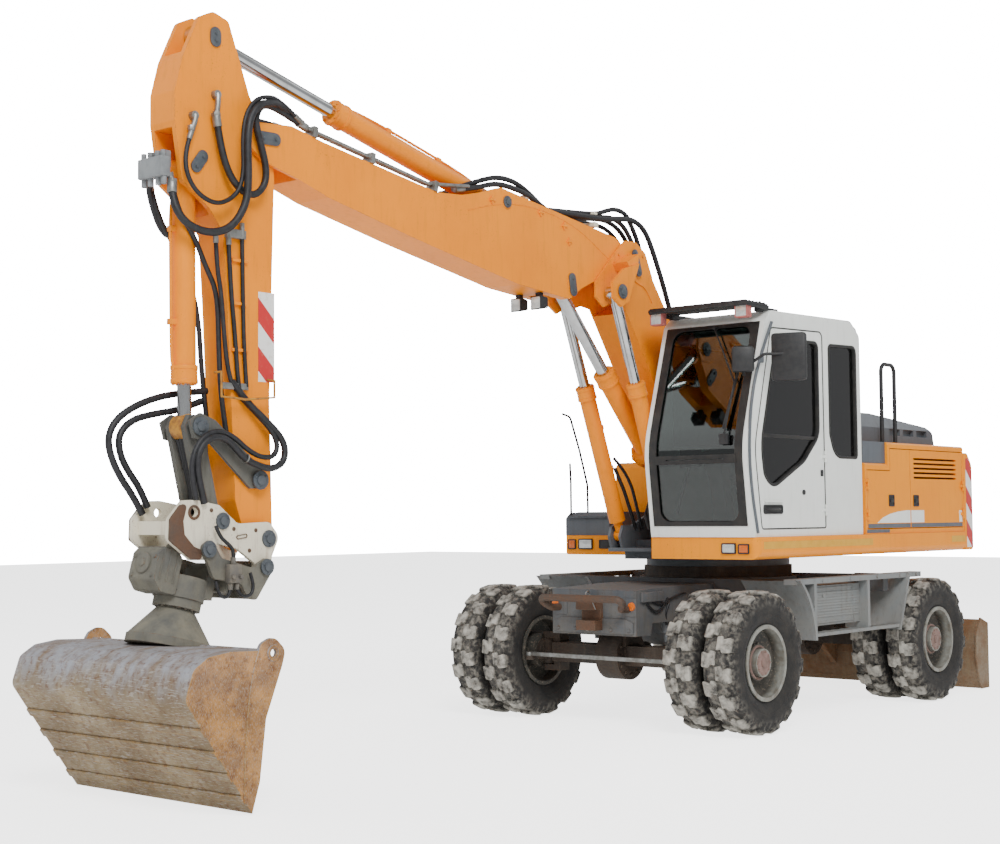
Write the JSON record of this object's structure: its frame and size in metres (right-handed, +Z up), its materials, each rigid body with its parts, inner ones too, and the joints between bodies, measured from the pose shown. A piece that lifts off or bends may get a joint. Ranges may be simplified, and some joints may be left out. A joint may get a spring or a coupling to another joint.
{
  "type": "wheeled excavator",
  "caption": "Wheeled excavator with an adjustable boom, a stick with a tilting rotator and wide ditching bucket, a side cab and a blade behind its twin wheels.",
  "frame": {"origin": "on the ground under the upper carriage's swing axis", "axes": "+X towards the boom's end and the steered axle, +Y to the machine's left where the cab is, +Z up"},
  "size_m": [8.8981, 2.9272, 4.6406],
  "materials": {
    "boom_orange": "weathered orange-yellow machine paint, satin",
    "deck_yellow": "orange-yellow machine paint, satin",
    "cab_white": "white machine paint, satin",
    "hood_grey": "dark grey machine paint, satin",
    "chassis_grey": "blue-grey machine paint, dusty",
    "rim_grey": "grey wheel paint, dusty",
    "rod_chrome": "hard chrome, polished",
    "barrel_paint": "orange-yellow cylinder paint, worn",
    "worn_steel": "worn steel with surface rust",
    "bare_steel": "bare steel, dull",
    "gear_grey": "grey gear housing paint",
    "coupler_cream": "cream-white paint, chipped",
    "engine_iron": "painted cast iron",
    "tyre_rubber": "black tyre rubber, dusty",
    "pane": "clear safety glass",
    "seat_cloth": "dark grey seat cloth",
    "black_plastic": "black moulded plastic",
    "lamp_lens": "amber and clear lamp lens"
  },
  "bodies": {
    "chassis": {"chassis_frame": "chassis_grey", "slew_ring": "bare_steel", "side_steps": "chassis_grey", "front_bumper": "worn_steel", "drive_line": "worn_steel", "axle_front": "worn_steel", "axle_rear": "worn_steel"},
    "blade": {"blade": "chassis_grey"},
    "blade_barrels": {"blade_barrels": "chassis_grey"},
    "blade_rods": {"blade_rods": "rod_chrome"},
    "knuckle_left": {"knuckle_left": "worn_steel"},
    "knuckle_right": {"knuckle_right": "worn_steel"},
    "tie_rod": {"tie_rod": "bare_steel"},
    "wheel_front_left": {"tyres_front_left": "tyre_rubber", "rims_front_left": "rim_grey"},
    "wheel_front_right": {"tyres_front_right": "tyre_rubber", "rims_front_right": "rim_grey"},
    "wheel_rear_left": {"tyres_rear_left": "tyre_rubber", "rims_rear_left": "rim_grey"},
    "wheel_rear_right": {"tyres_rear_right": "tyre_rubber", "rims_rear_right": "rim_grey"},
    "upper": {"deck_frame": "hood_grey", "deck_panels": "deck_yellow", "counterweight": "deck_yellow", "engine": "engine_iron", "engine_hood": "deck_yellow", "upper_hood": "hood_grey", "fuel_tank": "deck_yellow", "step_box": "hood_grey", "handrails": "black_plastic", "cab_shell": "cab_white", "cab_glass": "pane", "cab_controls": "black_plastic", "driver_seat": "seat_cloth", "cab_fittings": "black_plastic", "lamps": "lamp_lens"},
    "service_door_front": {"service_door_front": "deck_yellow"},
    "service_door_rear": {"service_door_rear": "deck_yellow"},
    "cab_door": {"cab_door": "cab_white", "door_glass": "pane"},
    "base_boom": {"base_boom": "boom_orange"},
    "hoist_barrels": {"hoist_barrel": "barrel_paint"},
    "hoist_rods": {"hoist_rod": "rod_chrome"},
    "upper_boom": {"upper_boom": "boom_orange", "boom_pipes": "bare_steel", "boom_lamps": "lamp_lens"},
    "adjust_barrel": {"adjust_barrel": "barrel_paint"},
    "adjust_rod": {"adjust_rod": "rod_chrome"},
    "stick": {"stick": "boom_orange"},
    "stick_barrel": {"stick_barrel": "barrel_paint"},
    "stick_rod": {"stick_rod": "rod_chrome"},
    "bucket_barrel": {"bucket_barrel": "barrel_paint"},
    "bucket_rod": {"bucket_rod": "rod_chrome"},
    "rocker": {"rocker": "boom_orange"},
    "link": {"link": "worn_steel"},
    "coupler": {"coupler": "coupler_cream", "tilt_bracket": "gear_grey"},
    "tilt_head": {"tilt_head": "gear_grey"},
    "rotor": {"rotator": "gear_grey", "bucket": "worn_steel"}
  },
  "joints": [
    {"name": "steer_left", "type": "hinge", "parent": "chassis", "child": "knuckle_left", "pos_m": [1.41, 0.705, 0.5275], "axis": [0, 0, 1], "range_deg": [-28, 28]},
    {"name": "steer_right", "type": "hinge", "parent": "chassis", "child": "knuckle_right", "pos_m": [1.41, -0.705, 0.5275], "axis": [0, 0, 1], "range_deg": [-28.2, 28.2]},
    {"name": "tie_rod_turn", "type": "hinge", "parent": "knuckle_left", "child": "tie_rod", "pos_m": [1.67, 0.705, 0.5], "axis": [0, 0, 1], "range_deg": [-28.2, 28.2]},
    {"name": "wheel_front_left_roll", "type": "hinge", "parent": "knuckle_left", "child": "wheel_front_left", "pos_m": [1.41, 1.0375, 0.5275], "axis": [0, 1, 0], "continuous": true},
    {"name": "wheel_front_right_roll", "type": "hinge", "parent": "knuckle_right", "child": "wheel_front_right", "pos_m": [1.41, -1.0375, 0.5275], "axis": [0, 1, 0], "continuous": true},
    {"name": "wheel_rear_left_roll", "type": "hinge", "parent": "chassis", "child": "wheel_rear_left", "pos_m": [-1.41, 1.0375, 0.5275], "axis": [0, 1, 0], "continuous": true},
    {"name": "wheel_rear_right_roll", "type": "hinge", "parent": "chassis", "child": "wheel_rear_right", "pos_m": [-1.41, -1.0375, 0.5275], "axis": [0, 1, 0], "continuous": true},
    {"name": "blade_lift", "type": "hinge", "parent": "chassis", "child": "blade", "pos_m": [-1.825, 0, 0.64], "axis": [0, 1, 0], "range_deg": [-6, 35]},
    {"name": "blade_barrels_turn", "type": "hinge", "parent": "chassis", "child": "blade_barrels", "pos_m": [-1.825, 0, 0.905], "axis": [0, 1, 0], "range_deg": [-4.59, 25.82]},
    {"name": "blade_rods_slide", "type": "slide", "parent": "blade_barrels", "child": "blade_rods", "axis": [-0.7071, 0, -0.7071], "range_m": [-0.1355, 0.0249]},
    {"name": "swing", "type": "hinge", "parent": "chassis", "child": "upper", "pos_m": [0, 0, 1.19], "axis": [0, 0, 1], "continuous": true},
    {"name": "cab_door_swing", "type": "hinge", "parent": "upper", "child": "cab_door", "pos_m": [0.333, 1.234, 2], "axis": [0, 0, 1], "range_deg": [0, 100]},
    {"name": "service_door_front_swing", "type": "hinge", "parent": "upper", "child": "service_door_front", "pos_m": [-0.339, 1.247, 1.8], "axis": [0, 0, -1], "range_deg": [0, 90]},
    {"name": "service_door_rear_swing", "type": "hinge", "parent": "upper", "child": "service_door_rear", "pos_m": [-2.127, 1.247, 1.8], "axis": [0, 0, 1], "range_deg": [0, 90]},
    {"name": "boom_lift", "type": "hinge", "parent": "upper", "child": "base_boom", "pos_m": [0.135, -0.03, 1.75], "axis": [0, -1, 0], "range_deg": [-40, 25]},
    {"name": "hoist_barrels_turn", "type": "hinge", "parent": "upper", "child": "hoist_barrels", "pos_m": [1.005, -0.03, 1.45], "axis": [0, -1, 0], "range_deg": [-43.72, 27.4]},
    {"name": "hoist_rods_slide", "type": "slide", "parent": "hoist_barrels", "child": "hoist_rods", "axis": [0.364, 0, 0.9314], "range_m": [-0.6122, 0.3834]},
    {"name": "upper_boom_fold", "type": "hinge", "parent": "base_boom", "child": "upper_boom", "pos_m": [1.405, -0.03, 3.592], "axis": [0, -1, 0], "range_deg": [-48, 0]},
    {"name": "adjust_barrel_turn", "type": "hinge", "parent": "base_boom", "child": "adjust_barrel", "pos_m": [0.965, -0.03, 2.1], "axis": [0, -1, 0], "range_deg": [-2.96, 0.2]},
    {"name": "adjust_rod_slide", "type": "slide", "parent": "adjust_barrel", "child": "adjust_rod", "axis": [0.681, 0, 0.7323], "range_m": [-0.6243, 0.002]},
    {"name": "stick_swing", "type": "hinge", "parent": "upper_boom", "child": "stick", "pos_m": [5.208, -0.03, 3.935], "axis": [0, 1, 0], "range_deg": [-85, 33]},
    {"name": "stick_barrel_turn", "type": "hinge", "parent": "upper_boom", "child": "stick_barrel", "pos_m": [2.885, -0.03, 3.868], "axis": [0, 1, 0], "range_deg": [-7.39, 2.99]},
    {"name": "stick_rod_slide", "type": "slide", "parent": "stick_barrel", "child": "stick_rod", "axis": [0.9719, 0, 0.2353], "range_m": [-0.8308, 0.3238]},
    {"name": "bucket_curl", "type": "hinge", "parent": "stick", "child": "coupler", "pos_m": [5.178, -0.03, 1.488], "axis": [0, 1, 0], "range_deg": [-15, 135]},
    {"name": "rocker_turn", "type": "hinge", "parent": "stick", "child": "rocker", "pos_m": [5.23, -0.03, 1.84], "axis": [0, 1, 0], "range_deg": [-10.97, 97.13]},
    {"name": "link_turn", "type": "hinge", "parent": "coupler", "child": "link", "pos_m": [5.535, -0.03, 1.597], "axis": [0, 1, 0], "range_deg": [-86.33, 9.77]},
    {"name": "bucket_barrel_turn", "type": "hinge", "parent": "stick", "child": "bucket_barrel", "pos_m": [5.69, -0.03, 3.675], "axis": [0, 1, 0], "range_deg": [-0.208, 0.268]},
    {"name": "bucket_rod_slide", "type": "slide", "parent": "bucket_barrel", "child": "bucket_rod", "axis": [-0.0098, 0, -1], "range_m": [-0.0949, 0.838]},
    {"name": "bucket_tilt", "type": "hinge", "parent": "coupler", "child": "tilt_head", "pos_m": [5.479, -0.03, 1.233], "axis": [0.9659, 0, 0.2588], "range_deg": [-40, 40]},
    {"name": "bucket_rotate", "type": "hinge", "parent": "tilt_head", "child": "rotor", "pos_m": [5.681, -0.03, 1.287], "axis": [0.2588, 0, -0.9659], "continuous": true}
  ],
  "couplings": [
    {"joint": "steer_right", "follows": "steer_left", "ratio": 1},
    {"joint": "tie_rod_turn", "follows": "steer_left", "ratio": -1},
    {"joint": "blade_barrels_turn", "follows": "blade_lift", "ratio": 0.7319},
    {"joint": "blade_rods_slide", "follows": "blade_lift", "m_per_rad": -0.2186},
    {"joint": "hoist_barrels_turn", "follows": "boom_lift", "ratio": 1.088},
    {"joint": "hoist_rods_slide", "follows": "boom_lift", "m_per_rad": 0.874},
    {"joint": "adjust_barrel_turn", "follows": "upper_boom_fold", "ratio": 0.0576},
    {"joint": "adjust_rod_slide", "follows": "upper_boom_fold", "m_per_rad": 0.7428},
    {"joint": "stick_barrel_turn", "follows": "stick_swing", "ratio": 0.0846},
    {"joint": "stick_rod_slide", "follows": "stick_swing", "m_per_rad": 0.5587},
    {"joint": "rocker_turn", "follows": "bucket_curl", "ratio": 0.718},
    {"joint": "link_turn", "follows": "bucket_curl", "ratio": -0.638},
    {"joint": "bucket_barrel_turn", "follows": "bucket_curl", "ratio": 0.0005},
    {"joint": "bucket_rod_slide", "follows": "bucket_curl", "m_per_rad": 0.3548}
  ]
}
